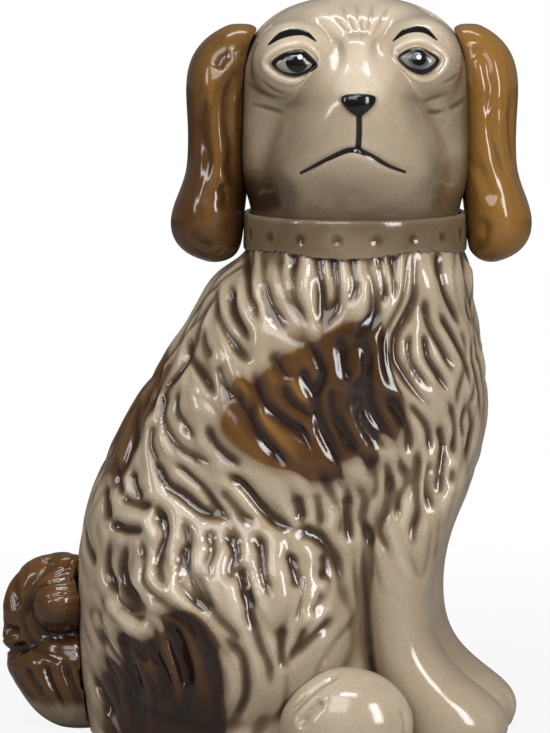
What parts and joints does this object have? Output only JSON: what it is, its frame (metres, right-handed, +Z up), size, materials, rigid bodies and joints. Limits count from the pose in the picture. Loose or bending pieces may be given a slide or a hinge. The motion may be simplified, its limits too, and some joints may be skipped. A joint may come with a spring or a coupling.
{
  "type": "staffordshire dog figure",
  "caption": "Seated spaniel mantel figure in glazed earthenware, hollow and press-moulded, head turned to the side, with a studded collar and a closed flat base.",
  "frame": {"origin": "on the surface the figure stands on, below the middle of its box", "axes": "+Z up, +X from the rump to the chest, and -Y the side that the face is turned to"},
  "size_m": [0.1888, 0.1176, 0.2575],
  "materials": {
    "cream_glaze": "lead glaze over cream earthenware, glossy, darker where it pools in the modelled hair",
    "brown_glaze": "treacle-brown painted glaze, glossy, golden on the ridges and dark in the hollows",
    "bare_clay": "unglazed buff earthenware, matt"
  },
  "bodies": {
    "root": {"right_body_half": "cream_glaze", "left_body_half": "cream_glaze", "body_seam_rolls": "bare_clay", "base_slab": "bare_clay", "neck_seam_roll": "bare_clay", "face_half": "cream_glaze", "head_back_half": "cream_glaze", "head_seam_roll": "bare_clay", "collar": "cream_glaze", "right_ear": "brown_glaze", "left_ear": "brown_glaze", "right_hind_paw": "cream_glaze", "left_hind_paw": "cream_glaze", "tail": "brown_glaze"}
  },
  "joints": []
}
